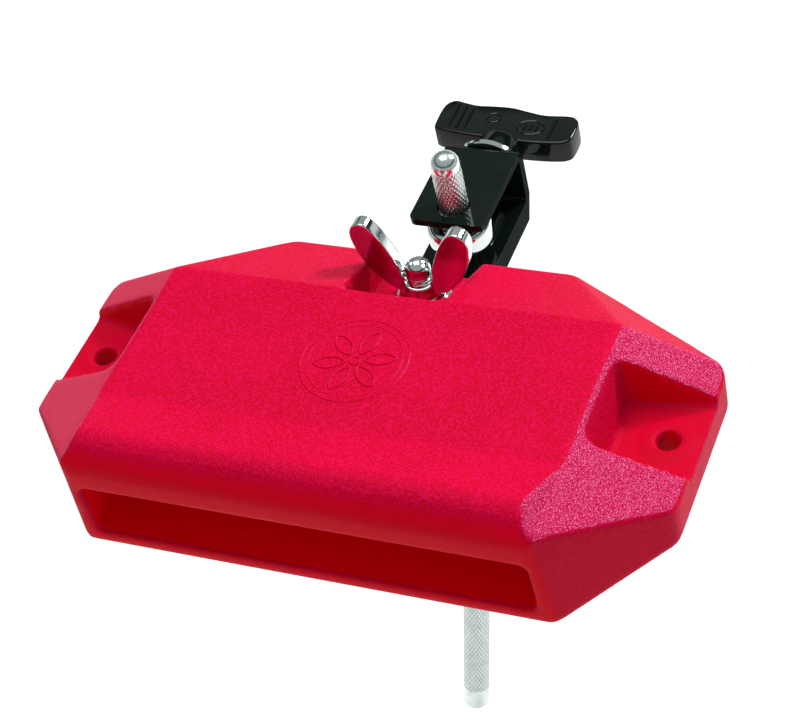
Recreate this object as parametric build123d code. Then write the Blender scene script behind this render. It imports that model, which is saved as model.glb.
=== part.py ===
from build123d import *
import math
import os

os.makedirs("parts", exist_ok=True)

# Percussion block with rod clamp.  Millimetres.
# Origin: midway between the two end holes, in the plane of the block's underside.
# X runs along the block, +Y from the playing edge to the clamp, +Z up.

# ---- block: plan and profile -------------------------------------------------
HALF_LEN = 100.0          # half of the overall length
Y_REAR = 54.6             # rear wall
Y_RIDGE = 24.0           # break between playing face and rear slope
Y_LIP_START = -30.0       # where the playing face starts to rise
Y_LIP_TOP = -48.0         # crown of the playing lip
Y_FRONT = -57.9          # foremost line of the lip
Z_TOP = 37.0              # playing face
Z_LIP = 42.6              # crown of the lip
Z_REAR = 23.8             # top of the rear wall
X_TOP = 70.9              # half length of the playing face
END_SLOPE = 0.56          # drop per mm of the end facets
X_REAR = 45.8             # half length of the rear wall
UNDER_X, UNDER_RISE = 73.0, 6.5

# ---- slot, recesses and nut pocket -------------------------------------------
SLOT_HALF, SLOT_Z0, SLOT_Z1, SLOT_BACK = 68.3, 6.0, 26.0, 6.5
RECESS_Z = 18.0
HOLE_R, HOLE_X = 3.5, 90.0
POCKET_HALF, POCKET_Z, POCKET_FRONT = 16.2, 17.0, 24.1
BAY_HALF, BAY_Z, BAY_FRONT = 20.0, 7.25, 29.0
BADGE_Y, BADGE_R = -3.7, 16.6

# ---- clamp -------------------------------------------------------------------
ARM_Z0, ARM_Z1, ARM_HALF = -0.5, 7.2, 12.5
PLATE_Z, PLATE_T, PLATE_FRONT = 26.5, 2.4, 67.0
WEB_Y0, WEB_Y1 = 101.2, 104.4
ROD_Y, ROD_R, ROD_TOP, ROD_BEND_Z = 75.4, 4.7625, 47.6, -17.3
ROD_END = (-16.92, 39.11, -191.28)   # middle of the lower end face
ROD_BEND_R = 24.0
EYE_Z, EYE_R, EYE_H, SHANK_R = 15.7, 10.4, 9.6, 3.95
HANDLE_T = 8.4
BOLT_Y, BOLT_R, BOLT_DOME_Z = 44.0, 4.1, 28.3
FIT = 0.05                        # running clearance on a radius
SLACK = 0.45                      # the rod holes are this much larger still, on the loose side

P = lambda x, y, z: Vector(x, y, z)


def above(p, q, r, inside):
    """Large box lying on the far side of the plane through p, q and r."""
    n = (q - p).cross(r - p).normalized()
    if (inside - p).dot(n) > 0:
        n = n * -1
    x_dir = (q - p).normalized()
    return Plane(origin=p, x_dir=x_dir, z_dir=n) * Box(600, 600, 200, align=(Align.CENTER, Align.CENTER, Align.MIN))


def prism(points, z0, z1):
    return Pos(0, 0, z0) * extrude(make_face(Polyline(*points, close=True)), z1 - z0)


def yz_prism(points, half):
    face = Plane.YZ * make_face(Polyline(*points, close=True))
    return extrude(face, half, both=True)


def cyl(r, z0, z1):
    return Pos(0, 0, z0) * Cylinder(r, z1 - z0, align=(Align.CENTER, Align.CENTER, Align.MIN))


def along_y(r, y0, y1):
    return Pos(0, y0, 0) * Rot(-90, 0, 0) * Cylinder(r, y1 - y0, align=(Align.CENTER, Align.CENTER, Align.MIN))


# ---- block -------------------------------------------------------------------
core = P(0, 4, 12)
body = yz_prism([(Y_REAR, 0), (Y_REAR, Z_REAR), (Y_RIDGE, Z_TOP), (-56.8, Z_TOP), (Y_FRONT, 33.4),
                 (-56.2, 0)], HALF_LEN)
lip = yz_prism([(Y_LIP_START, Z_TOP), (Y_LIP_START, Z_TOP - 4), (-57.0, Z_TOP - 4), (Y_FRONT, 33.4),
                (-57.3, 35.6), (-55.6, 38.6), (-53.2, 40.8), (-50.6, 42.1), (Y_LIP_TOP, Z_LIP)], 71.0)
for s in (1, -1):
    z_end = Z_TOP - (HALF_LEN - X_TOP) * END_SLOPE
    end_facet = above(P(s * X_TOP, 0, Z_TOP), P(s * X_TOP, -50, Z_TOP), P(s * HALF_LEN, 0, z_end), core)
    front_bevel = above(P(s * 70.8, -56.9, 36.7), P(s * 99.5, -26.7, 20), P(s * 72.8, -56.2, 0), core)
    rear_facet = above(P(s * X_TOP, Y_RIDGE, Z_TOP), P(s * X_REAR, Y_REAR, Z_REAR), P(s * 99, 28.5, 21.2), core)
    rear_wall = above(P(s * X_REAR, Y_REAR, 0), P(s * X_REAR, Y_REAR, 10), P(s * 99, 28.5, 0), core)
    underside = above(P(s * UNDER_X, 0, 0), P(s * UNDER_X, -50, 0), P(s * HALF_LEN, 0, UNDER_RISE), core)
    for tool in (end_facet, front_bevel, rear_facet, rear_wall, underside):
        body = body - tool
    lip = lip - above(P(s * 71.3, -29.6, 36.8), P(s * 67.1, -48, 42.9), P(s * 70.8, -56.9, 36.7), core)
body = body + lip


def rounded(shape, edges, r):
    """The shape with these edges rounded, or None where no sound solid comes out."""
    try:
        out = fillet(edges, r)
    except Exception:
        return None
    sound = out.is_valid and len(out.solids()) == 1 and abs(out.volume / shape.volume - 1) < 0.05
    return out if sound else None


def softened(shape, pick, *radii):
    """Round the picked edges together, or else one at a time, with the first radius that works."""
    for r in radii:
        out = rounded(shape, [e for e in shape.edges() if pick(e)], r)
        if out is not None:
            return out
    for point in [e.center() for e in shape.edges() if pick(e)]:
        for r in radii:
            edge = min(shape.edges(), key=lambda e: (e.center() - point).length)
            out = rounded(shape, [edge], r) if (edge.center() - point).length < 0.5 else None
            if out is not None:
                shape = out
                break
    return shape


def near(e, x=None, y=None, z=None, tol=0.6):
    c = e.center()
    return all(v is None or abs(w - v) < tol for v, w in ((x, abs(c.X)), (y, c.Y), (z, c.Z)))


def slanted_quad(z, inner, outer, back_in, back_out, front_in, front_out, side):
    pts = [(side * inner, back_in, z), (side * outer, back_out, z), (side * outer, front_out, z),
           (side * inner, front_in, z)]
    return make_face(Polyline(*pts, close=True))


vertical = lambda e: abs(e.tangent_at(0.5).Z) > 0.9
along_x = lambda e: abs(e.tangent_at(0.5).X) > 0.999

# outer roundings, from the broad corners down to the crisp breaks
body = softened(body, lambda e: vertical(e) and abs(e.center().X) > 95 and e.center().Y > 4, 8, 6, 4)
body = softened(body, lambda e: vertical(e) and abs(e.center().X) > 95, 6, 4, 3)
body = softened(body, lambda e: vertical(e) and e.center().Y > 49, 6, 4)
body = softened(body, lambda e: near(e, x=72, y=-56.5, z=18, tol=4) and not along_x(e), 4, 3, 2)
body = softened(body, lambda e: e.center().Z < 7.5 and e.length > 4, 3, 2, 1.5)
body = softened(body, lambda e: e.center().Z > 14 and abs(e.center().X) > 84, 1.6, 1.2, 0.8)

# playing slot, closed at the back
slot_front = Plane(origin=(0, -59, 0), x_dir=(1, 0, 0), z_dir=(0, 1, 0))
slot_back = Plane(origin=(0, SLOT_BACK, 0), x_dir=(1, 0, 0), z_dir=(0, 1, 0))
mid = -(SLOT_Z0 + SLOT_Z1) / 2
mouth = slot_front * Pos(0, mid) * RectangleRounded(2 * SLOT_HALF, SLOT_Z1 - SLOT_Z0, 2.2)
inner = slot_back * Pos(0, mid) * RectangleRounded(2 * SLOT_HALF - 3, SLOT_Z1 - SLOT_Z0 - 1.6, 1.6)
body = body - loft([mouth, inner], ruled=True)

for s in (1, -1):
    # end recess with a screw hole in a low ring
    bed = slanted_quad(RECESS_Z, 75.2, 112, 13.0, 17.2, -17.9, -11.6, s)
    top = slanted_quad(RECESS_Z + 24, 71.6, 112, 11.8, 17.8, -19.4, -12.6, s)
    cut = loft([bed, top], ruled=True)
    cut = softened(cut, lambda e: abs(e.center().X) < 90 and abs(e.tangent_at(0.5).Z) > 0.8, 4, 3)
    cut = softened(cut, lambda e: e.center().Z < RECESS_Z + 0.5 and abs(e.center().X) < 100, 1.5, 1.0)
    body = body - cut
    ring = cyl(7.0, RECESS_Z - 1, RECESS_Z + 0.7) - cyl(4.8, RECESS_Z - 2, RECESS_Z + 3)
    body = body + Pos(s * HOLE_X, 0) * (ring & Pos(0, 0, RECESS_Z) * Box(40, 40, 6))
    body = body - Pos(s * HOLE_X, 0) * cyl(HOLE_R, -2, 30)

# pocket for the wing nut, open to the rear, and bay for the clamp arm below it
pocket = prism([(-POCKET_HALF, POCKET_FRONT), (POCKET_HALF, POCKET_FRONT), (POCKET_HALF, 70),
                (-POCKET_HALF, 70)], POCKET_Z, 50)
pocket = softened(pocket, lambda e: vertical(e) and e.center().Y < 40, 4)
bay = prism([(-BAY_HALF, BAY_FRONT), (BAY_HALF, BAY_FRONT), (BAY_HALF + 3, 70), (-BAY_HALF - 3, 70)], -5, BAY_Z)
bay = softened(bay, lambda e: vertical(e) and e.center().Y < 40, 8)
body = body - pocket - bay - Pos(0, BOLT_Y) * cyl(BOLT_R + 0.35, -5, 50)
for radius, width in ((BADGE_R, 0.9), (BADGE_R - 2.2, 0.5)):
    body = body + Pos(0, BADGE_Y) * (cyl(radius, Z_TOP - 1, Z_TOP + 0.35) - cyl(radius - width, Z_TOP - 2, Z_TOP + 2))
body = softened(body, lambda e: near(e, y=Y_REAR, tol=0.3) and abs(e.center().X) < 46 and e.center().Z > 20, 1.2, 0.8)
export_step(body, "parts/block.step")

# ---- mounting bolt, flat washer and wing nut ---------------------------------
neck = Pos(0, 0, ARM_Z0) * Box(8.2, 8.2, 3.4, align=(Align.CENTER, Align.CENTER, Align.MIN))
head = cyl(9.0, ARM_Z0 - 3.6, ARM_Z0)
head = softened(head, lambda e: e.center().Z < ARM_Z0 - 3, 3.0, 2.0)
bolt = head + neck + cyl(BOLT_R, ARM_Z0, BOLT_DOME_Z) + Pos(0, 0, BOLT_DOME_Z) * Sphere(BOLT_R)
export_step(Pos(0, BOLT_Y) * bolt, "parts/mounting_bolt.step")

washer = cyl(8.6, POCKET_Z + 0.02, POCKET_Z + 1.4) - cyl(BOLT_R + 0.25, 0, 40)
washer = softened(washer, lambda e: e.radius > 8 if e.geom_type == GeomType.CIRCLE else False, 0.3)
export_step(Pos(0, BOLT_Y) * washer, "parts/flat_washer.step")

NUT_Z = POCKET_Z + 1.42
foot = cyl(7.4, NUT_Z, NUT_Z + 1.8)
hub = Pos(0, 0, NUT_Z + 1.8) * Cone(6.4, 5.2, 4.6, align=(Align.CENTER, Align.CENTER, Align.MIN))
wing_line = [(3.6, 20.4), (8.6, 21.6), (12.4, 25.0), (15.3, 28.6), (17.9, 34.7), (19.1, 40.0), (18.9, 43.0),
             (17.6, 45.3), (15.2, 46.3), (12.8, 45.3), (9.8, 41.0), (7.4, 35.6), (5.6, 30.6), (4.9, 26.4), (3.6, 24.4)]
WING_HALF = 2.2
nut = foot + hub
for s in (1, -1):
    pts = [(s * x, 0, z) for x, z in wing_line]
    blade = extrude(make_face(Polyline(*pts, close=True)), WING_HALF, dir=(0, 1, 0), both=True)
    nut = nut + softened(blade, lambda e: abs(abs(e.center().Y) - WING_HALF) < 0.01, 0.9, 0.6, 0.4)
nut = nut - cyl(BOLT_R + FIT, 0, 60)
export_step(Pos(0, BOLT_Y) * nut, "parts/wing_nut.step")

# ---- clamp bracket: top plate, web and arm in one bent bar ----------------------
side = [(PLATE_FRONT, PLATE_Z), (WEB_Y1 - 2.2, PLATE_Z), (WEB_Y1, PLATE_Z - 2.2), (WEB_Y1, 8.0), (100.6, ARM_Z0),
        (BOLT_Y - ARM_HALF, ARM_Z0), (BOLT_Y - ARM_HALF, ARM_Z1), (WEB_Y0 - 2, ARM_Z1), (WEB_Y0, ARM_Z1 + 2),
        (WEB_Y0, PLATE_Z - PLATE_T), (PLATE_FRONT, PLATE_Z - PLATE_T)]
bracket = yz_prism(side, ARM_HALF)
nose = Pos(0, BOLT_Y) * cyl(ARM_HALF, -5, 40) + Pos(0, BOLT_Y + 45, 0) * Box(60, 90, 90)
bracket = bracket & nose
bracket = softened(bracket, lambda e: vertical(e) and near(e, x=ARM_HALF, y=PLATE_FRONT), 2.5, 2)
bracket = softened(bracket, lambda e: near(e, z=ARM_Z1, tol=0.2) and e.length > 20, 1.2, 0.8)
bracket = softened(bracket, lambda e: near(e, z=PLATE_Z, tol=0.2), 0.4, 0.3)
bracket = bracket - Pos(0, ROD_Y - SLACK, 0) * cyl(ROD_R + FIT + SLACK, -10, 60)
bracket = bracket - Pos(0, 0, EYE_Z) * along_y(SHANK_R + FIT, 90, 110)
bracket = bracket - Pos(0, BOLT_Y) * Box(8.3, 8.3, 40)
export_step(bracket, "parts/bracket.step")

# ---- knurled rod, bent below the clamp -------------------------------------------
elbow, end = P(0, ROD_Y, ROD_BEND_Z), P(*ROD_END)
down, away = P(0, 0, -1), (end - elbow).normalized()
bend = math.acos(down.dot(away))
reach = ROD_BEND_R * math.tan(bend / 2)
start = P(0, ROD_Y, ROD_TOP - ROD_R)
path = Wire([Line(start, elbow - down * reach),
             TangentArc(elbow - down * reach, elbow + away * reach, tangent=down),
             Line(elbow + away * reach, end)])
rod = sweep(Plane(origin=start, z_dir=down) * Circle(ROD_R), path=path)
rod = rod + Pos(*start) * Sphere(ROD_R)
rod = softened(rod, lambda e: e.center().Z < -190, 1.0, 0.6)
export_step(rod, "parts/rod.step")

# ---- eye bolt, washer, handle and its nut ------------------------------------------
eye = Pos(0, ROD_Y, EYE_Z) * Cylinder(EYE_R, EYE_H)
eye = softened(eye, lambda e: e.geom_type == GeomType.CIRCLE, 3.0, 2.0)
eye = eye + Pos(0, 0, EYE_Z) * along_y(SHANK_R, ROD_Y + 6, 118.5)
eye = eye - Pos(0, ROD_Y + SLACK, 0) * cyl(ROD_R + FIT + SLACK, -10, 60)
export_step(eye, "parts/eye_bolt.step")

disc = Pos(0, 0, EYE_Z) * (along_y(11.8, WEB_Y1 + 0.02, WEB_Y1 + 1.9) - along_y(SHANK_R + 0.25, 90, 120))
disc = softened(disc, lambda e: e.geom_type == GeomType.CIRCLE and e.radius > 11, 0.4)
export_step(disc, "parts/clamp_washer.step")

HUB_Y0 = WEB_Y1 + 1.95
HUB_Y1 = 116.2
outline = [(-24.1, 119.4), (-22.8, 117.8), (-19.5, 117), (-10.3, 116), (-0.5, 115.7), (9.3, 115.2), (18.5, 115.8),
           (22.3, 117), (23.7, 119.4), (23.7, 126.2), (22.1, 129), (19.1, 129.8), (11.5, 129.2), (5.5, 130.2),
           (-0.5, 131.4), (-6.5, 131.4), (-12.5, 131), (-17.5, 131.8), (-20.9, 132.4), (-23.3, 130.8), (-24.3, 127.4)]
bar = extrude(Plane.XY.offset(EYE_Z - HANDLE_T / 2) * make_face(Spline(*outline, periodic=True)), HANDLE_T)
bar = softened(bar, lambda e: e.length > 60, 1.2, 0.8, 0.5)
handle = bar + Pos(0, 0, EYE_Z) * along_y(7.6, HUB_Y0, HUB_Y1)
nut_af = 13.0
hexagon = Pos(0, HUB_Y0 + 0.4, EYE_Z) * Rot(-90, 0, 0) * extrude(RegularPolygon(nut_af / 2, 6, major_radius=False), 6.5)
bore = Pos(0, 0, EYE_Z) * along_y(SHANK_R + FIT, 90, 121)
handle = handle - hexagon - bore
export_step(handle, "parts/handle.step")
export_step(hexagon - bore, "parts/handle_nut.step")
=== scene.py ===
"""Looks of a moulded percussion block held by a rod clamp.

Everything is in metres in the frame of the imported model.  The drawing sizes below are in millimetres and
are turned into metres by MM when a mesh is finished.
"""
import math

import bmesh
import bpy
from mathutils import Matrix, Vector


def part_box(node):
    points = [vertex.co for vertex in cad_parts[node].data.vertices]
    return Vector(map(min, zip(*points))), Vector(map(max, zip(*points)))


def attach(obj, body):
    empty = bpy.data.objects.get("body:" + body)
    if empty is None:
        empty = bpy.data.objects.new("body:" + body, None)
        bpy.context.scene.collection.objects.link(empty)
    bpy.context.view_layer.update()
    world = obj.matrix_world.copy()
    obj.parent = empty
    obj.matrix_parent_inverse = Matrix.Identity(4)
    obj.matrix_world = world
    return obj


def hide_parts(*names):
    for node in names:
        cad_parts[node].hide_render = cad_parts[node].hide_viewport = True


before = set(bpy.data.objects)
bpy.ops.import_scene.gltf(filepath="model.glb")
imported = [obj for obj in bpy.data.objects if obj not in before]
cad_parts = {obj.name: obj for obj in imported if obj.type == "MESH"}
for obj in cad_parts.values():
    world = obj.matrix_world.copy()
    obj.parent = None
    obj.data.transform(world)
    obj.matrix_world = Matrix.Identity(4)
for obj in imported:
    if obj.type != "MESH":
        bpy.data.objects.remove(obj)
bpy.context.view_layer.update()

MM = 0.001


def mm_box(node):
    """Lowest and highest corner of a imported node, in millimetres."""
    low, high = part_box(node)
    return Vector(low) / MM, Vector(high) / MM


# ---------------------------------------------------------------------------------------------------
# Driving sizes
# ---------------------------------------------------------------------------------------------------
FACE_Z = 37.0                         # playing face
BOLT_LOW, BOLT_HIGH = mm_box("mounting_bolt")
BOLT_Y = (BOLT_LOW.y + BOLT_HIGH.y) / 2
BOLT_R = 4.1
BOLT_PITCH = 1.25
EYE_LOW, EYE_HIGH = mm_box("eye_bolt")
EYE_R = EYE_HIGH.x
EYE_H = EYE_HIGH.z - EYE_LOW.z
EYE_Z = (EYE_LOW.z + EYE_HIGH.z) / 2
SHANK_R = 3.95                        # threaded end of the eye bolt
ROD_Y = EYE_LOW.y + EYE_R
ROD_LOW, ROD_HIGH = mm_box("rod")
ROD_R = 4.7625
ROD_TOP = ROD_HIGH.z
ROD_ELBOW = Vector((0, ROD_Y, -17.3))
ROD_END = Vector((-16.92, 39.11, -191.28))
ROD_BEND_R = 24.0
ROD_HOLE_R = 5.26                     # slack hole in the bracket and in the eye
SLACK = 0.45                          # how far the slack holes sit off the rod's centre
ARM_LOW, ARM_HIGH = mm_box("bracket")
ARM_HALF = ARM_HIGH.x
PLATE_T = 2.4                         # thickness of the bracket bar
PLATE_FRONT = 67.0
WEB_Y0, WEB_Y1 = 101.2, ARM_HIGH.y
ARM_TOP = 7.2
NECK_HALF = 4.1                       # square neck of the mounting bolt
HOLE_FREE = 0.05                      # room round a shaft in its hole
HANDLE_LOW = mm_box("handle")[0]
HUB_Y0, HUB_Y1, HUB_R = HANDLE_LOW.y, 116.2, 7.6
HANDLE_HALF = 4.2                     # half height of the handle's bar
HANDLE_TOP = EYE_Z + HANDLE_HALF
NUT_LOW, NUT_HIGH = mm_box("handle_nut")
NUT_Z = mm_box("wing_nut")[0].z       # underside of the wing nut
BADGE_Y, BADGE_R = -3.7, 16.6
END_HOLE_X, BED_Z = 90.0, 18.0        # screw holes and the bed they stand in

# Where the red skin changes, in metres; each pair is the start and the end of a soft step.
ABOVE_BED = (0.0190, 0.0205)
BELOW_WALL = (0.0195, 0.0215)
RECESS_REACH = (0.070, 0.074)
LIP_CUT = (0.0345, 0.0355)
MIDDLE = (-0.02, 0.02)
BADGE_LEVEL = (0.0362, 0.0368)
SLOT_SIDE = (0.0690, 0.0705)
SLOT_MOUTH = (-0.0562, -0.0545)
SLOT_BACK = (0.010, 0.014)
SLOT_BOTTOM = (0.0030, 0.0045)
SLOT_ROOF = (0.0275, 0.0290)


# ---------------------------------------------------------------------------------------------------
# Shader helpers
# ---------------------------------------------------------------------------------------------------
class Value:
    """A number socket that takes part in Python arithmetic."""

    def __init__(self, shading, socket):
        self.shading = shading
        self.socket = socket

    def _math(self, operation, first, second=None):
        inputs = {0: first} if second is None else {0: first, 1: second}
        node = self.shading.node("ShaderNodeMath", {"operation": operation}, inputs)
        return Value(self.shading, node.outputs[0])

    def __add__(self, other):
        return self._math("ADD", self, other)

    def __sub__(self, other):
        return self._math("SUBTRACT", self, other)

    def __rsub__(self, other):
        return self._math("SUBTRACT", other, self)

    def __mul__(self, other):
        return self._math("MULTIPLY", self, other)

    __radd__ = __add__

    def at_least(self, other):
        """The larger of the two."""
        return self._math("MAXIMUM", self, other)

    def size(self):
        """The number without its sign."""
        return self._math("ABSOLUTE", self)

    def ramp(self, low, high):
        """Soft step from 0 at low to 1 at high."""
        node = self.shading.node("ShaderNodeMapRange", {"interpolation_type": "SMOOTHSTEP"},
                                 {"Value": self, "From Min": low, "From Max": high})
        return Value(self.shading, node.outputs["Result"])


class Shading:
    """A node tree being filled."""

    def __init__(self, tree):
        self.tree = tree
        self.place = self.node("ShaderNodeTexCoord", {}, {})

    def node(self, kind, settings, inputs):
        node = self.tree.nodes.new(kind)
        for key, value in settings.items():
            setattr(node, key, value)
        for key, value in inputs.items():
            self.feed(node.inputs[key], value)
        return node

    def feed(self, socket, value):
        if isinstance(value, Value):
            value = value.socket
        if isinstance(value, bpy.types.NodeSocket):
            self.tree.links.new(value, socket)
        else:
            socket.default_value = value

    def axes(self, source):
        """The three coordinates of one kind of texture coordinate."""
        split = self.node("ShaderNodeSeparateXYZ", {}, {"Vector": self.place.outputs[source]})
        return [Value(self, split.outputs[letter]) for letter in "XYZ"]

    def noise(self, scale, detail=2.0, roughness=0.5, stretch=(1, 1, 1)):
        """Noise of about one patch per 1/scale metre."""
        spot = self.node("ShaderNodeMapping", {}, {"Vector": self.place.outputs["Object"], "Scale": stretch})
        node = self.node("ShaderNodeTexNoise", {}, {"Vector": spot.outputs[0], "Scale": scale,
                                                   "Detail": detail, "Roughness": roughness})
        return Value(self, node.outputs[0])

    def pebbles(self, scale, smoothness=0.6):
        """Rounded cells of about 1/scale metre."""
        node = self.node("ShaderNodeTexVoronoi", {"feature": "SMOOTH_F1"},
                         {"Vector": self.place.outputs["Object"], "Scale": scale, "Smoothness": smoothness})
        return Value(self, node.outputs["Distance"])

    def blend(self, amount, first, second):
        return self.node("ShaderNodeMix", {"data_type": "RGBA"}, {0: amount, 6: first, 7: second}).outputs[2]


class Finish(Shading):
    """A material under construction, with one Principled shader."""

    def __init__(self, name, **settings):
        self.material = bpy.data.materials.new(name)
        self.material.use_nodes = True
        super().__init__(self.material.node_tree)
        self.shader = self.tree.nodes["Principled BSDF"]
        for socket, value in settings.items():
            self.shader.inputs[socket.replace("_", " ")].default_value = value

    def colour(self, value):
        self.feed(self.shader.inputs["Base Color"], value)

    def roughness(self, value):
        self.feed(self.shader.inputs["Roughness"], value)

    def relief(self, height, depth):
        """Bump whose height, from 0 to 1, stands depth metres tall."""
        bump = self.node("ShaderNodeBump", {}, {"Strength": 1.0, "Distance": depth, "Height": height})
        self.feed(self.shader.inputs["Normal"], bump.outputs[0])


def rgb(red, green, blue):
    """A colour from 0-255 display values, as the linear colour a shader takes."""
    def linear(v):
        v /= 255
        return v / 12.92 if v <= 0.04045 else ((v + 0.055) / 1.055) ** 2.4
    return (linear(red), linear(green), linear(blue), 1.0)


# ---------------------------------------------------------------------------------------------------
# Finishes
# ---------------------------------------------------------------------------------------------------
def moulded_red():
    """Crimson moulded plastic: pebbled skin on top, coarser on the end facets, smoother in the hollows."""
    f = Finish("moulded_red", IOR=1.16, Specular_Tint=(1.0, 0.45, 0.55, 1.0))
    x, y, z = f.axes("Object")
    nx, ny, nz = f.axes("Normal")
    slope = nx.size().ramp(0.34, 0.42) * nz.ramp(0.66, 0.76) * z.ramp(*ABOVE_BED)
    lip_end = nx.size().ramp(0.66, 0.74) * nz.ramp(0.36, 0.44) * z.ramp(*LIP_CUT)
    end_facet = slope.at_least(lip_end)
    # Three times as strong on the right end as on the left: the end facets' painted glints and lit tone go
    # mostly to the right end, where the light glints.
    right_glint_weight = x.ramp(*MIDDLE) * 0.75 + 0.25
    along = y - BADGE_Y * MM
    off_badge = (x * x + along * along).ramp((BADGE_R * MM) ** 2, ((BADGE_R + 0.8) * MM) ** 2)
    badge = (1 - off_badge) * z.ramp(*BADGE_LEVEL)
    front = (0 - ny).ramp(0.55, 0.9)
    bed = x.size().ramp(*RECESS_REACH) * (1 - z.ramp(*BELOW_WALL)) * nz.ramp(0.8, 0.97)
    slot = ((1 - x.size().ramp(*SLOT_SIDE)) * y.ramp(*SLOT_MOUTH) * (1 - y.ramp(*SLOT_BACK))
            * z.ramp(*SLOT_BOTTOM) * (1 - z.ramp(*SLOT_ROOF)))

    fine = f.noise(1900, 3.0, 0.62)
    pebble = f.pebbles(1250)
    coarse = f.noise(2700, 3.0, 0.8)
    cloud = f.noise(30, 3.0, 0.55)
    grain = fine * 0.5 + pebble * 0.5
    calm = badge.at_least(bed).at_least(front * 0.5)
    skin_depth = 0.00022
    f.relief(grain * (1 - calm * 0.8) * (1 - end_facet) + coarse * end_facet * 1.5, skin_depth)

    deep, full, pebble_tip = rgb(190, 0, 34), rgb(200, 0, 44), rgb(222, 8, 84)
    # The front red is painted light: the front-facing faces get a purer, less pink red of their own, as they
    # look under these lamps.
    front_lit_red, slot_glow_red = rgb(226, 0, 32), rgb(248, 0, 20)
    # Painted light: the end facets of the one plastic get tones of their own as the lamps fall on them, a
    # paler pink on the left end and a pinker red mostly on the right end.
    left_facet_lit_red, end_facet_lit_red = rgb(222, 14, 66), rgb(208, 4, 84)
    # Painted glints on the end facets: pale pink-white specks, with dark specks of painted shade between them.
    painted_glint_speck, painted_shade_speck = rgb(255, 150, 205), rgb(140, 0, 60)
    left_end = end_facet * (1 - x.ramp(*MIDDLE))
    skin = f.blend(cloud.ramp(0.3, 0.75), deep, full)
    skin = f.blend(grain.ramp(0.42, 0.60) * (1 - bed) * (1 - front) * 0.55, skin, pebble_tip)
    skin = f.blend(front, skin, front_lit_red)
    # Painted light: the slot walls get a brighter, purer red, standing in for light bleeding through the
    # plastic into the slot.
    skin = f.blend(slot, skin, slot_glow_red)
    skin = f.blend(left_end * 0.8, skin, left_facet_lit_red)
    skin = f.blend(end_facet * 0.6 * right_glint_weight, skin, end_facet_lit_red)
    # Painted glints and painted shade on the coarse grain, mostly on the right end facets.
    skin = f.blend(coarse.ramp(0.52, 0.63) * end_facet * right_glint_weight * 0.85, skin, painted_glint_speck)
    skin = f.blend((1 - coarse.ramp(0.37, 0.47)) * end_facet * right_glint_weight * 0.6, skin, painted_shade_speck)
    f.colour(skin)
    f.roughness(0.52 - end_facet * 0.14 + (cloud - 0.5) * 0.12)
    return f.material


def chrome():
    """Bright plate with a faint haze and fine scratches."""
    clean, hazed = (0.76, 0.79, 0.78, 1), (0.60, 0.66, 0.66, 1)
    f = Finish("bright_chrome", Metallic=1.0)
    haze = f.noise(160, 4.0, 0.6)
    scratch = f.noise(900, 3.0, 0.7, stretch=(1, 1, 7))
    f.colour(f.blend(haze.ramp(0.35, 0.8), clean, hazed))
    f.roughness(0.035 + haze * 0.06 + scratch.ramp(0.55, 0.8) * 0.05)
    f.relief(haze * 0.7 + scratch * 0.3, 0.00002)
    return f.material


def knurled_steel():
    """Dull plated steel, painted darker in the cuts of the knurl as shade."""
    clean, hazed, painted_cut_shade = (0.84, 0.89, 0.89, 1), (0.70, 0.76, 0.76, 1), (0.16, 0.20, 0.20, 1)
    f = Finish("knurled_steel", Metallic=1.0)
    haze = f.noise(220, 3.0, 0.6)
    dust = f.noise(2600, 2.0, 0.6)
    cut = Value(f, f.node("ShaderNodeAttribute", {"attribute_name": "cut"}, {}).outputs["Fac"])
    plate = f.blend(haze.ramp(0.3, 0.7), clean, hazed)
    # Painted shade: darker where the knurl is cut deep.
    f.colour(f.blend(cut.ramp(0.1, 0.8) * 0.5, plate, painted_cut_shade))
    f.roughness(0.14 + haze * 0.08 + dust * 0.06 + cut * 0.2)
    f.relief(dust, 0.00002)
    return f.material


def black_coat():
    """Gloss powder coat, duller on the cut side edges of the bar."""
    f = Finish("black_powder_coat", Specular_IOR_Level=0.0, Coat_Roughness=0.05)
    nx, _, _ = f.axes("Normal")
    orange_peel = f.noise(620, 2.0, 0.5)
    smear = f.noise(60, 4.0, 0.6)
    f.colour(f.blend(smear.ramp(0.3, 0.8), rgb(8, 18, 13), rgb(15, 25, 20)))
    f.roughness(0.30 + smear * 0.16)
    f.feed(f.shader.inputs["Coat Weight"], 0.42 - nx.size().ramp(0.94, 0.99) * 0.34)
    f.relief(orange_peel, 0.00003)
    return f.material


def black_plastic():
    """Gloss moulded handle plastic."""
    f = Finish("black_moulded_plastic", Specular_IOR_Level=0.0, Coat_Weight=0.6, Coat_Roughness=0.07)
    skin = f.noise(1500, 2.0, 0.6)
    smear = f.noise(75, 4.0, 0.6)
    f.colour(f.blend(smear.ramp(0.3, 0.8), rgb(8, 15, 10), rgb(15, 22, 17)))
    f.roughness(0.30 + smear * 0.2)
    f.relief(skin * 0.6 + smear * 0.4, 0.00005)
    return f.material


def pale_floor():
    """Even, nearly white studio floor."""
    f = Finish("pale_floor", Specular_IOR_Level=0.1)
    tone = f.noise(6, 2.0, 0.5)
    f.colour(f.blend(tone, (0.96, 0.96, 0.96, 1), (0.98, 0.98, 0.98, 1)))
    f.roughness(0.85 + tone * 0.1)
    return f.material


RED, CHROME, STEEL = moulded_red(), chrome(), knurled_steel()
BLACK_COAT, BLACK_PLASTIC = black_coat(), black_plastic()


# ---------------------------------------------------------------------------------------------------
# Mesh helpers, all in millimetres
# ---------------------------------------------------------------------------------------------------
def new_object(name, bm):
    mesh = bpy.data.meshes.new(name)
    bm.to_mesh(mesh)
    bm.free()
    obj = bpy.data.objects.new(name, mesh)
    bpy.context.scene.collection.objects.link(obj)
    return obj


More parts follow.
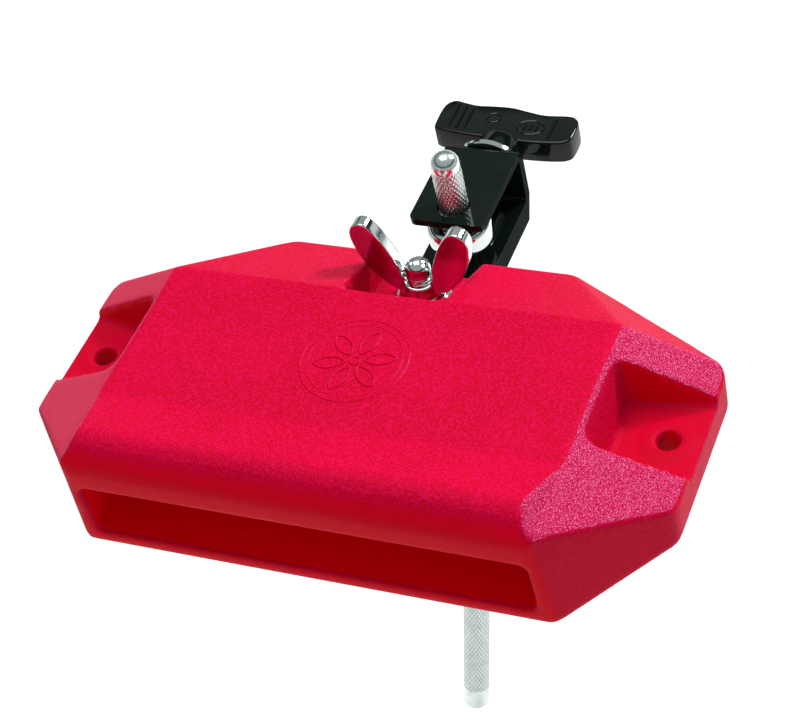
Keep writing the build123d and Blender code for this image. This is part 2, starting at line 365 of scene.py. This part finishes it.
def baked(obj):
    """Turn the object's modifiers into plain mesh."""
    graph = bpy.context.evaluated_depsgraph_get()
    graph.update()
    mesh = bpy.data.meshes.new_from_object(obj.evaluated_get(graph))
    obj.modifiers.clear()
    old = obj.data
    obj.data = mesh
    bpy.data.meshes.remove(old)
    return obj


def with_modifier(obj, kind, **settings):
    modifier = obj.modifiers.new(kind.title(), kind)
    for key, value in settings.items():
        setattr(modifier, key, value)
    return obj


def combine(target, tool, operation):
    with_modifier(target, "BOOLEAN", operation=operation, solver="EXACT", object=tool)
    baked(target)
    bpy.data.objects.remove(tool)
    return target


def joined(*objects):
    """Several objects' meshes in the first object, still as separate shells."""
    bm = bmesh.new()
    for obj in objects:
        bm.from_mesh(obj.data)
    bm.to_mesh(objects[0].data)
    bm.free()
    for obj in objects[1:]:
        bpy.data.objects.remove(obj)
    return objects[0]


def solid(name, build, *arguments, matrix=None):
    """An object from one shape function."""
    bm = bmesh.new()
    build(bm, *arguments)
    bmesh.ops.recalc_face_normals(bm, faces=bm.faces[:])
    if matrix is not None:
        bm.transform(matrix)
    return new_object(name, bm)


def cad_copy(name, node):
    """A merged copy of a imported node's mesh."""
    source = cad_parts[node]
    bm = bmesh.new()
    bm.from_mesh(source.data)
    bm.transform(Matrix.Scale(1 / MM, 4) @ source.matrix_world)
    bmesh.ops.remove_doubles(bm, verts=bm.verts[:], dist=0.003)
    bmesh.ops.recalc_face_normals(bm, faces=bm.faces[:])
    return new_object(name, bm)


def prism(bm, outline, low, high, axis="Z"):
    """Solid from a flat outline pushed along one axis; the outline's axes follow in cyclic order."""
    order = {"Z": (0, 1, 2), "X": (1, 2, 0)}[axis]

    def place(u, v, w):
        point = [0, 0, 0]
        for index, value in zip(order, (u, v, w)):
            point[index] = value
        return bm.verts.new(point)
    bottom = [place(u, v, low) for u, v in outline]
    top = [place(u, v, high) for u, v in outline]
    bm.faces.new(bottom[::-1])
    bm.faces.new(top)
    for i in range(len(outline)):
        j = (i + 1) % len(outline)
        bm.faces.new((bottom[i], bottom[j], top[j], top[i]))


def bridge(bm, first, second):
    count = len(first)
    for k in range(count):
        n = (k + 1) % count
        bm.faces.new((first[k], first[n], second[n], second[k]))


def cap(bm, ring, centre):
    middle = bm.verts.new(centre)
    for k in range(len(ring)):
        bm.faces.new((middle, ring[k], ring[(k + 1) % len(ring)]))


def lathe(bm, profile, segments=72):
    """Solid of revolution about the vertical axis; the profile runs (radius, height).

    A profile that starts on the axis is closed by points there, any other is closed on itself.
    """
    solid_core = profile[0][0] < 1e-6
    body = profile[1:-1] if solid_core else profile
    rings = []
    for radius, height in body:
        turn = [math.tau * k / segments for k in range(segments)]
        rings.append([bm.verts.new((radius * math.cos(a), radius * math.sin(a), height)) for a in turn])
    for first, second in zip(rings, rings[1:]):
        bridge(bm, first, second)
    if solid_core:
        cap(bm, rings[0], (0, 0, profile[0][1]))
        cap(bm, rings[-1], (0, 0, profile[-1][1]))
    else:
        bridge(bm, rings[-1], rings[0])


def square(x, y, half):
    """Outline of a square round a centre."""
    return [(x - half, y - half), (x + half, y - half), (x + half, y + half), (x - half, y + half)]


def disc(bm, radius, low, high):
    lathe(bm, [(0, low), (radius, low), (radius, high), (0, high)])


def shaft(bm, stations, radius, segments, cut=None):
    """Closed solid along stations of (distance, centre, direction); radius(distance, angle) is its surface.

    cut(distance, angle), from 0 to 1, is kept on the points for the finish to read.
    """
    depth = bm.verts.layers.float.new("cut") if cut else None
    rings = []
    for distance, centre, direction in stations:
        side = (Vector((1, 0, 0)) - direction * direction.x).normalized()
        up = direction.cross(side)
        ring = []
        for k in range(segments):
            a = math.tau * k / segments
            point = bm.verts.new(centre + (side * math.cos(a) + up * math.sin(a)) * radius(distance, a))
            if cut:
                point[depth] = cut(distance, a)
            ring.append(point)
        rings.append(ring)
    for first, second in zip(rings, rings[1:]):
        bridge(bm, first, second)
    cap(bm, rings[0], stations[0][1])
    cap(bm, rings[-1], stations[-1][1])


def ring_path(x, y, z, radius, count, radius_y=None):
    """Points round a level circle, or an oval where radius_y is given."""
    turn = [math.tau * k / count for k in range(count)]
    return [(x + radius * math.cos(a), y + (radius_y or radius) * math.sin(a), z) for a in turn]


def tube(bm, path, radius, segments=8):
    """Round bar along a closed, level path of points."""
    rings = []
    count = len(path)
    up = Vector((0, 0, 1))
    for i in range(count):
        here = Vector(path[i])
        along = (Vector(path[(i + 1) % count]) - Vector(path[i - 1])).normalized()
        side = along.cross(up).normalized()
        turn = [math.tau * k / segments for k in range(segments)]
        rings.append([bm.verts.new(here + (side * math.cos(a) + up * math.sin(a)) * radius) for a in turn])
    for i in range(count):
        bridge(bm, rings[i], rings[(i + 1) % count])


def arc(cx, cy, radius, start, stop, steps):
    """Points on a round stretch of an outline, angles in degrees."""
    angles = [math.radians(start + (stop - start) * i / steps) for i in range(steps + 1)]
    return [(cx + radius * math.cos(a), cy + radius * math.sin(a)) for a in angles]


def smooth_line(points, per_span=6):
    """Closed curve through the points."""
    count = len(points)
    out = []
    for i in range(count):
        a, b, c, d = (Vector(points[(i + k) % count]) for k in (-1, 0, 1, 2))
        for step in range(per_span):
            t = step / per_span
            out.append(tuple(0.5 * (2 * b + (c - a) * t + (2 * a - 5 * b + 4 * c - d) * t ** 2
                                    + (3 * b - a - 3 * c + d) * t ** 3)))
    return out


def rounded_edges(obj, width, pick=None, segments=3, angle=30):
    """Bevel the sharp edges, or the picked ones, and bake."""
    if pick is None:
        with_modifier(obj, "BEVEL", limit_method="ANGLE", angle_limit=math.radians(angle), width=width,
                      segments=segments, use_clamp_overlap=True)
        return baked(obj)
    bm = bmesh.new()
    bm.from_mesh(obj.data)
    edges = [e for e in bm.edges if pick(e)]
    bmesh.ops.bevel(bm, geom=edges, offset=width, offset_type="OFFSET", segments=segments, profile=0.5,
                    affect="EDGES", clamp_overlap=True)
    bm.to_mesh(obj.data)
    bm.free()
    return obj


def finish_piece(obj, body, node, material, angle=35):
    """Metres, material, shading and ride."""
    obj.data.transform(Matrix.Scale(MM, 4))
    obj.data.update()
    obj.data.materials.clear()
    obj.data.materials.append(material)
    if angle is not None:
        for polygon in obj.data.polygons:
            polygon.use_smooth = True
        obj.data.set_sharp_from_angle(angle=math.radians(angle))
    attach(obj, body)
    if node:
        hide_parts(node)
    return obj


# ---------------------------------------------------------------------------------------------------
# Geometry Nodes: copies of a shape in a row or round a centre
# ---------------------------------------------------------------------------------------------------
def repeat_tree():
    tree = bpy.data.node_groups.new("repeat_shape", "GeometryNodeTree")
    for name, kind in (("Geometry", "NodeSocketGeometry"), ("Count", "NodeSocketInt"),
                       ("Step", "NodeSocketVector"), ("Turn", "NodeSocketFloat"),
                       ("Material", "NodeSocketMaterial")):
        tree.interface.new_socket(name, in_out="INPUT", socket_type=kind)
    tree.interface.new_socket("Geometry", in_out="OUTPUT", socket_type="NodeSocketGeometry")
    new, link = tree.nodes.new, tree.links.new
    given, result = new("NodeGroupInput"), new("NodeGroupOutput")
    line, copies = new("GeometryNodeMeshLine"), new("GeometryNodeInstanceOnPoints")
    index, turn = new("GeometryNodeInputIndex"), new("ShaderNodeMath")
    turn.operation = "MULTIPLY"
    spin = new("ShaderNodeCombineXYZ")
    real, paint = new("GeometryNodeRealizeInstances"), new("GeometryNodeSetMaterial")
    link(given.outputs["Count"], line.inputs["Count"])
    link(given.outputs["Step"], line.inputs["Offset"])
    link(line.outputs["Mesh"], copies.inputs["Points"])
    link(given.outputs["Geometry"], copies.inputs["Instance"])
    link(index.outputs[0], turn.inputs[0])
    link(given.outputs["Turn"], turn.inputs[1])
    link(turn.outputs[0], spin.inputs["Z"])
    link(spin.outputs[0], copies.inputs["Rotation"])
    link(copies.outputs[0], real.inputs[0])
    link(real.outputs[0], paint.inputs["Geometry"])
    link(given.outputs["Material"], paint.inputs["Material"])
    link(paint.outputs[0], result.inputs[0])
    return tree


REPEAT = repeat_tree()


def repeated(obj, count, material, step=(0, 0, 0), turn=0.0):
    """Copies of the object's shape, each moved by step and turned about the vertical axis from the last."""
    modifier = obj.modifiers.new("Repeat", "NODES")
    modifier.node_group = REPEAT
    given = {"Count": count, "Step": step, "Turn": turn, "Material": material}
    for item in REPEAT.interface.items_tree:
        if item.in_out == "INPUT" and item.name in given:
            modifier[item.identifier] = given[item.name]
    return baked(obj)


# ---------------------------------------------------------------------------------------------------
# Block
# ---------------------------------------------------------------------------------------------------
def make_block():
    """Moulded shell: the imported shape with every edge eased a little, as it comes out of a mould."""
    grain = 1.0
    shell = cad_copy("block_shell", "block")
    with_modifier(shell, "REMESH", mode="VOXEL", voxel_size=grain, adaptivity=0.0)
    with_modifier(shell, "SMOOTH", factor=0.5, iterations=5)
    baked(shell)
    return finish_piece(shell, "block", "block", RED, angle=80)


def make_bosses():
    """Low rings round the two screw holes."""
    section = [(3.7, -0.6), (3.7, 0.1), (4.1, 0.5), (4.8, 0.72), (5.8, 0.66), (6.8, 0.35), (7.6, -0.1),
               (7.6, -0.6)]
    profile = [(radius, BED_Z + height) for radius, height in section]
    right = solid("hole_bosses", lathe, profile, matrix=Matrix.Translation((END_HOLE_X, 0, 0)))
    left = solid("left", lathe, profile, matrix=Matrix.Translation((-END_HOLE_X, 0, 0)))
    return finish_piece(joined(right, left), "block", None, RED)


def make_badge():
    """Plain raised rosette inside the two moulded rings."""
    petals, half_width, near_end, far_end = 6, 2.1, 3.0, 12.2
    middle = (near_end + far_end) / 2
    inner, outer = middle - 2.2, middle + 2.6
    upper = [(near_end, 0), (inner, half_width * 0.82), (middle, half_width), (outer, half_width * 0.8)]
    lower = [(far_end, 0), (outer, -half_width * 0.8), (middle, -half_width), (inner, -half_width * 0.82)]
    path = [(x, y, FACE_Z) for x, y in smooth_line(upper + lower, 5)]
    petal = solid("badge_rosette", tube, path, 0.34)
    rosette = repeated(petal, petals, RED, turn=math.tau / petals)
    for radius, thick, points in ((1.5, 0.3, 24), (BADGE_R - 0.45, 0.42, 120), (BADGE_R - 2.45, 0.32, 120)):
        joined(rosette, solid("ring", tube, ring_path(0, 0, FACE_Z, radius, points), thick))
    turned = Matrix.Rotation(math.radians(15), 4, "Z")
    rosette.data.transform(Matrix.Translation((0, BADGE_Y, 0)) @ turned)
    return finish_piece(rosette, "block", None, RED)


# ---------------------------------------------------------------------------------------------------
# Wing nut, bolt and washers
# ---------------------------------------------------------------------------------------------------
def make_wing_nut():
    """Cast wing nut: thick wings with rounded rims, run together with the hub by small fillets."""
    wing_half, grain = 2.25, 0.3
    section = [(0, 0), (7.1, 0), (7.4, 0.4), (7.4, 1.4), (6.9, 1.9), (6.2, 2.6), (5.5, 5.6), (5.0, 6.2),
               (0, 6.2)]
    hub = [(radius, NUT_Z + height) for radius, height in section]
    outside = [(3.6, 20.4), (8.6, 21.6), (12.4, 25.0), (15.3, 28.6), (17.9, 34.7), (19.1, 40.0), (18.9, 43.0)]
    tip = [(17.6, 45.3), (15.2, 46.3), (12.8, 45.3)]
    inside = [(9.8, 41.0), (7.4, 35.6), (5.6, 30.6), (4.9, 26.4), (3.6, 24.4)]
    upright = Matrix(((1, 0, 0, 0), (0, 0, 1, 0), (0, 1, 0, 0), (0, 0, 0, 1)))
    nut = solid("wing_nut_casting", lathe, hub)
    for side in (1, -1):
        edge = smooth_line([(side * x, z) for x, z in outside + tip + inside])
        wing = solid("wing", prism, edge, -wing_half, wing_half)
        wing.data.transform(upright)
        wing.data.flip_normals()
        nut = joined(nut, wing)
    with_modifier(nut, "REMESH", mode="VOXEL", voxel_size=grain, adaptivity=0.0)
    with_modifier(nut, "SMOOTH", factor=0.5, iterations=6)
    baked(nut)
    combine(nut, solid("bore", disc, BOLT_R + HOLE_FREE, 0, 60), "DIFFERENCE")
    nut.data.transform(Matrix.Translation((0, BOLT_Y, 0)))
    return finish_piece(nut, "wing_nut", "wing_nut", CHROME, angle=50)


def thread(distance, angle, radius, depth, pitch):
    """Surface of a screw thread at a distance along the axis."""
    phase = (distance / pitch + angle / math.tau) % 1
    return radius - depth * abs(phase - 0.5) * 2


def straight(start, stop, step, direction):
    """Evenly spaced stations on a line from start to stop along direction."""
    count = max(2, round((stop - start) / step))
    distances = [start + (stop - start) * i / count for i in range(count + 1)]
    return [(d, direction * d, direction) for d in distances]


def make_bolt():
    """Carriage bolt: domed head below the arm, square neck, thread and round tip."""
    depth, start = 0.55, 2.6
    tip_z = BOLT_HIGH.z - BOLT_R
    dome = [(BOLT_HIGH.z - BOLT_R * (1 - math.sin(a)), BOLT_R * math.cos(a))
            for a in (math.radians(90 * k / 10) for k in range(1, 10))]
    up = Vector((0, 0, 1))
    stations = straight(start, tip_z, BOLT_PITCH / 6, up) + [(z, up * z, up) for z, _ in dome]
    tip = dict(dome)

    def surface(distance, angle):
        if distance in tip:
            return tip[distance]
        fade = min(1, max(0, (tip_z - 1.0 - distance) / 1.0))
        return thread(distance, angle, BOLT_R, depth * fade, BOLT_PITCH)
    bolt = solid("mounting_bolt_threaded", shaft, stations, surface, 48)
    section = [(0, 0), (3.2, 0.05), (6.2, 0.55), (8.2, 1.6), (9.0, 2.9), (8.9, 3.45), (8.6, 3.6), (0, 3.6)]
    head = [(radius, BOLT_LOW.z + height) for radius, height in section]
    combine(bolt, solid("head", lathe, head), "UNION")
    neck = solid("neck", prism, square(0, 0, NECK_HALF), BOLT_LOW.z + 3.4, BOLT_LOW.z + 7.0)
    combine(bolt, neck, "UNION")
    bolt.data.transform(Matrix.Translation((0, BOLT_Y, 0)))
    return finish_piece(bolt, "clamp", "mounting_bolt", CHROME)


def washer_profile(inner, outer, low, high, edge):
    """Ring section with its corners cut by edge, sharp only at the bore's lower edge."""
    return [(inner, low), (outer - edge, low), (outer, low + edge), (outer, high - edge), (outer - edge, high),
            (inner + edge, high), (inner, high - edge)]


def make_washers():
    """Washer under the wing nut and washer between web and handle."""
    play = 0.25
    low, high = mm_box("flat_washer")
    profile = washer_profile(BOLT_R + play, high.x, low.z, high.z, 0.3)
    flat = solid("flat_washer_turned", lathe, profile, matrix=Matrix.Translation((0, BOLT_Y, 0)))
    finish_piece(flat, "nut_lift", "flat_washer", CHROME)
    low, high = mm_box("clamp_washer")
    profile = washer_profile(SHANK_R + play, high.x, low.y, high.y, 0.4)
    big = solid("clamp_washer_turned", lathe, profile, matrix=TO_Y)
    finish_piece(big, "clamp", "clamp_washer", CHROME)


# ---------------------------------------------------------------------------------------------------
# Rod and eye bolt
# ---------------------------------------------------------------------------------------------------
TO_Y = Matrix.Translation((0, 0, EYE_Z)) @ Matrix.Rotation(math.radians(-90), 4, "X")


def rod_line():
    """Length of the bent rod's centre line and a function giving the point and direction at a distance."""
    down = Vector((0, 0, -1))
    away = (ROD_END - ROD_ELBOW).normalized()
    bend = math.acos(down.dot(away))
    reach = ROD_BEND_R * math.tan(bend / 2)
    top = Vector((0, ROD_Y, ROD_TOP))
    upper = (top - ROD_ELBOW).length - reach
    curve = bend * ROD_BEND_R
    inward = (away - down * down.dot(away)).normalized()
    entry = ROD_ELBOW - down * reach
    lower = (ROD_END - ROD_ELBOW).length - reach

    def at(distance):
        if distance <= upper:
            return top + down * distance, down
        if distance >= upper + curve:
            return ROD_ELBOW + away * (reach + distance - upper - curve), away
        turn = (distance - upper) / ROD_BEND_R
        centre = entry + inward * ROD_BEND_R
        place = centre - inward * (ROD_BEND_R * math.cos(turn)) + down * (ROD_BEND_R * math.sin(turn))
        return place, down * math.cos(turn) + inward * math.sin(turn)
    return upper + curve + lower, at


def make_rod():
    """Rod with a cut diamond knurl, a smooth round top and a smooth plain end."""
    grooves, lead, depth, samples = 22, 2.36, 0.26, 6
    smooth_end, edge = 8.0, 0.9
    length, at = rod_line()
    dome = [ROD_R * (1 - math.cos(math.radians(90 * k / 10))) for k in range(1, 10)]
    knurled = length - smooth_end - ROD_R
    rows = round(knurled / lead * samples)
    steps = [ROD_R + knurled * i / rows for i in range(rows + 1)]
    tail = [length - smooth_end + 2, length - edge] + [length - edge * (1 - k / 4) for k in (1, 2, 3, 4)]
    stations = [(d, *at(d)) for d in dome + steps + tail]

    def cut(distance, angle):
        start = min(1, max(0, (distance - ROD_R - 0.4) / 0.8))
        stop = min(1, max(0, (length - smooth_end - distance) / 0.8))
        around, along = angle / math.tau * grooves, distance / lead
        lands = [abs((around + sign * along) % 1 - 0.5) * 2 for sign in (1, -1)]
        return (1 - min(1, min(lands) * 1.5)) * start * stop

    def surface(distance, angle):
        if distance < ROD_R:
            return math.sqrt(ROD_R ** 2 - (ROD_R - distance) ** 2)
        if distance > length - edge:
            drop = (distance - length + edge) / edge
            return ROD_R - edge * (1 - math.sqrt(max(0.0, 1 - drop ** 2)))
        return ROD_R - depth * cut(distance, angle)
    rod = solid("knurled_rod", shaft, stations, surface, grooves * samples, cut)
    return finish_piece(rod, "rod", "rod", STEEL, angle=60)


def make_eye_bolt():
    """Forged eye round the rod, with a threaded shank through the bracket."""
    depth, outer, inner = 0.5, 3.0, 1.0
    low, high = EYE_Z - EYE_H / 2, EYE_Z + EYE_H / 2
    ring = (arc(ROD_HOLE_R + inner, low + inner, inner, 180, 270, 4)
            + arc(EYE_R - outer, low + outer, outer, 270, 360, 8)
            + arc(EYE_R - outer, high - outer, outer, 0, 90, 8)
            + arc(ROD_HOLE_R + inner, high - inner, inner, 90, 180, 4))
    eye = solid("eye_bolt_forged", lathe, ring, matrix=Matrix.Translation((0, ROD_Y + SLACK, 0)))
    start = ROD_Y + 7.5
    stations = straight(start, EYE_HIGH.y, BOLT_PITCH / 6, Vector((0, 1, 0)))

    def surface(distance, angle):
        fade = min(1, max(0, (distance - ROD_Y - EYE_R - 3.0) / 1.0))
        return thread(distance, angle, SHANK_R, depth * fade, BOLT_PITCH)
    shank = solid("shank", shaft, stations, surface, 48)
    shank.data.transform(Matrix.Translation((0, 0, EYE_Z)))
    combine(eye, shank, "UNION")
    return finish_piece(eye, "eye_bolt", "eye_bolt", CHROME)


# ---------------------------------------------------------------------------------------------------
# Bracket and handle
# ---------------------------------------------------------------------------------------------------
def is_arm_edge(edge):
    """The two long upper edges of the arm."""
    a, b = (v.co for v in edge.verts)
    level = abs(a.z - ARM_TOP) < 0.1 and abs(b.z - ARM_TOP) < 0.1
    return level and abs(abs(a.x) - ARM_HALF) < 0.1 and abs(a.x - b.x) < 0.1 and (a - b).length > 20


def make_bracket():
    """Bent flat bar: top plate, web and arm, with softened edges and rounded front corners."""
    plate_z, arm_z = ARM_HIGH.z, ARM_LOW.z
    outer, inner = 3.2, 1.0
    side = ([(PLATE_FRONT, plate_z)] + arc(WEB_Y1 - outer, plate_z - outer, outer, 90, 0, 6)
            + [(WEB_Y1, 8.0), (100.6, arm_z), (BOLT_Y - ARM_HALF, arm_z), (BOLT_Y - ARM_HALF, ARM_TOP)]
            + arc(WEB_Y0 - 2, ARM_TOP + 2, 2, -90, 0, 4)
            + arc(WEB_Y0 - inner, plate_z - PLATE_T - inner, inner, 0, 90, 4)
            + [(PLATE_FRONT, plate_z - PLATE_T)])
    bar = solid("clamp_bracket_bar", prism, side, -ARM_HALF, ARM_HALF, "X")
    back = BOLT_Y + 90
    nose = ([(ARM_HALF, back), (-ARM_HALF, back)] + arc(0, BOLT_Y, ARM_HALF, 180, 360, 32)[:-1]
            + [(ARM_HALF, BOLT_Y)])
    combine(bar, solid("nose", prism, nose, arm_z - 5, plate_z + 5), "INTERSECT")
    corners = 2.4
    x, y = ARM_HALF - corners, PLATE_FRONT + corners
    tab = ([(ARM_HALF + 1, back), (-ARM_HALF - 1, back), (-ARM_HALF, y)] + arc(-x, y, corners, 180, 270, 5)[1:]
           + arc(x, y, corners, 270, 360, 5))
    keep = solid("tab", prism, tab, 12, plate_z + 5)
    combine(keep, solid("arm", prism, [(-20, 0), (20, 0), (20, 140), (-20, 140)], arm_z - 5, 12.5), "UNION")
    combine(bar, keep, "INTERSECT")
    bm = bmesh.new()
    bm.from_mesh(bar.data)
    bmesh.ops.remove_doubles(bm, verts=bm.verts[:], dist=0.02)
    bmesh.ops.dissolve_limit(bm, angle_limit=math.radians(0.5), verts=bm.verts[:], edges=bm.edges[:])
    bm.to_mesh(bar.data)
    bm.free()
    rounded_edges(bar, 1.3, is_arm_edge, segments=4)
    rounded_edges(bar, 0.5, angle=40)
    rod_hole = solid("hole", disc, ROD_HOLE_R, -20, 60, matrix=Matrix.Translation((0, ROD_Y - SLACK, 0)))
    combine(bar, rod_hole, "DIFFERENCE")
    combine(bar, solid("hole", disc, SHANK_R + HOLE_FREE, 90, 112, matrix=TO_Y), "DIFFERENCE")
    combine(bar, solid("hole", prism, square(0, BOLT_Y, NECK_HALF + HOLE_FREE), -20, 60), "DIFFERENCE")
    for polygon in bar.data.polygons:
        polygon.use_smooth = True
    bar.data.set_sharp_from_angle(angle=math.radians(40))
    with_modifier(bar, "WEIGHTED_NORMAL", mode="FACE_AREA", weight=50, keep_sharp=True)
    baked(bar)
    return finish_piece(bar, "clamp", "bracket", BLACK_COAT, angle=None)


def ridge(bm, x, y0, y1, z, half, height):
    """Low rounded bar across the handle, standing on height z."""
    section = [(-half, -0.4), (half, -0.4), (half, height * 0.5), (half * 0.5, height), (-half * 0.5, height),
               (-half, height * 0.5)]
    front = [bm.verts.new((x + u, y0 + (0.5 if w > 0 else 0), z + w)) for u, w in section]
    rear = [bm.verts.new((x + u, y1 - (0.5 if w > 0 else 0), z + w)) for u, w in section]
    bm.faces.new(front)
    bm.faces.new(rear[::-1])
    bridge(bm, front, rear)


def make_handle():
    """Moulded T-handle: waved bar with softened edges on a round hub, hexagon pocket for its nut."""
    bar_low, bar_high = EYE_Z - HANDLE_HALF, HANDLE_TOP
    front = [(-24.1, 119.4), (-22.8, 117.8), (-19.5, 117), (-10.3, 116), (-0.5, 115.7), (9.3, 115.2),
             (18.5, 115.8), (22.3, 117), (23.7, 119.4)]
    rear = [(23.7, 126.2), (22.1, 129), (19.1, 129.8), (11.5, 129.2), (5.5, 130.2), (-0.5, 131.4),
            (-6.5, 131.4), (-12.5, 131), (-17.5, 131.8), (-20.9, 132.4), (-23.3, 130.8), (-24.3, 127.4)]
    bar = solid("handle_moulding", prism, smooth_line(front + rear, 5), bar_low, bar_high)
    rounded_edges(bar, 1.3, lambda e: e.is_manifold and e.calc_face_angle(0) > 1.2, segments=4)
    hub = [(0, HUB_Y0), (HUB_R - 0.6, HUB_Y0), (HUB_R, HUB_Y0 + 0.6), (HUB_R, HUB_Y1 - 1.2),
           (HUB_R - 0.35, HUB_Y1 - 0.35), (HUB_R - 1.2, HUB_Y1), (0, HUB_Y1)]
    combine(bar, solid("hub", lathe, hub, matrix=TO_Y), "UNION")
    ridges = ((-19.0, 119.0, 130.6), (-16.2, 118.4, 130.2), (-13.5, 118.2, 129.4), (16.0, 117.4, 127.6))
    for x, near, far in ridges:
        combine(bar, solid("ridge", ridge, x, near, far, bar_high, 0.45, 0.5), "UNION")
    corner = (NUT_HIGH.z - NUT_LOW.z) / 2 / math.cos(math.radians(30))
    turn = [math.radians(60 * k + 30) for k in range(6)]
    hexagon = [(corner * math.cos(a), corner * math.sin(a)) for a in turn]
    combine(bar, solid("pocket", prism, hexagon, NUT_LOW.y, NUT_HIGH.y, matrix=TO_Y), "DIFFERENCE")
    combine(bar, solid("bore", disc, SHANK_R + HOLE_FREE, 90, 121, matrix=TO_Y), "DIFFERENCE")
    return finish_piece(bar, "handle", "handle", BLACK_PLASTIC, angle=40)


def make_handle_marks():
    """Raised ring near the hub and a plain raised oval with three bars on the right wing of the handle."""
    line, bar_half, bar_rise, spacing = 0.34, 0.4, 0.42, 2.0
    marks = solid("handle_marks", tube, ring_path(-5.0, 125.2, HANDLE_TOP, 2.2, 32), line)
    joined(marks, solid("oval", tube, ring_path(8.7, 122.1, HANDLE_TOP, 4.6, 48, 3.3), line))
    bar = solid("bars", ridge, 6.7, 120.4, 123.8, HANDLE_TOP, bar_half, bar_rise)
    bars = repeated(bar, 3, BLACK_PLASTIC, step=(spacing, 0, 0))
    joined(marks, bars)
    return finish_piece(marks, "handle", None, BLACK_PLASTIC)


make_block()
make_bosses()
make_badge()
make_wing_nut()
make_bolt()
make_washers()
make_rod()
make_eye_bolt()
make_bracket()
make_handle()
make_handle_marks()
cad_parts["handle_nut"].data.materials.clear()
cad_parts["handle_nut"].data.materials.append(CHROME)


# ---------------------------------------------------------------------------------------------------
# Camera, light and floor
# ---------------------------------------------------------------------------------------------------
CAMERA_STAND = Vector((247.57, -386.19, 470.97))
CAMERA_AIM = Vector((15.4, -5.39, 40.29))
CAMERA_ROLL = -14.81
CAMERA_LENS, SENSOR = 99, 36
FLOOR_REACH, FLOOR_DROP = 20000, 105   # half size, and depth below the rod's end
WORLD_POWER = 0.9


def aimed(stand, aim):
    """Placing at stand, in millimetres, looking at aim."""
    turn = (aim - stand).to_track_quat("-Z", "Y").to_matrix().to_4x4()
    return Matrix.Translation(stand * MM) @ turn


def make_camera():
    camera = bpy.data.cameras.new("camera")
    camera.sensor_width = SENSOR
    camera.lens = CAMERA_LENS
    camera.clip_start = 0.01
    obj = bpy.data.objects.new("camera", camera)
    bpy.context.scene.collection.objects.link(obj)
    obj.matrix_world = aimed(CAMERA_STAND, CAMERA_AIM) @ Matrix.Rotation(math.radians(CAMERA_ROLL), 4, "Z")
    bpy.context.scene.camera = obj


def make_light(name, stand, aim, size, power):
    light = bpy.data.lights.new(name, "AREA")
    light.shape = "RECTANGLE"
    light.size, light.size_y = size
    light.energy = power
    obj = bpy.data.objects.new(name, light)
    bpy.context.scene.collection.objects.link(obj)
    obj.matrix_world = aimed(Vector(stand), Vector(aim))


def make_floor():
    level = ROD_LOW.z - FLOOR_DROP
    bm = bmesh.new()
    bm.faces.new([bm.verts.new((x, y, level)) for x, y in square(0, 0, FLOOR_REACH)])
    floor = new_object("floor", bm)
    floor.data.transform(Matrix.Scale(MM, 4))
    floor.data.materials.append(pale_floor())


def make_world():
    """Studio surroundings in level bands, dark and pale by turns, for the bright metal to show."""
    world = bpy.data.worlds.new("studio")
    world.use_nodes = True
    s = Shading(world.node_tree)
    horizon, pale_band, dark_band, overhead = (rgb(70, 92, 92), (0.75, 0.78, 0.78, 1), rgb(36, 56, 58),
                                               (0.40, 0.46, 0.44, 1))
    _, _, height = s.axes("Generated")
    low = s.blend(height.ramp(0.02, 0.10), horizon, pale_band)
    band = s.blend(height.ramp(0.22, 0.26), low, dark_band)
    upper = s.blend(height.ramp(0.46, 0.52), band, overhead)
    background = world.node_tree.nodes["Background"]
    s.feed(background.inputs[0], upper)
    background.inputs[1].default_value = WORLD_POWER
    bpy.context.scene.world = world


make_camera()
make_floor()
make_world()
make_light("overhead", (-250, 450, 2300), (0, 0, 0), (1.5, 1.3), 36)
make_light("back_right", (990, 1450, 1230), (0, 0, 20), (0.4, 0.4), 32)
bpy.context.scene.view_settings.view_transform = "Standard"
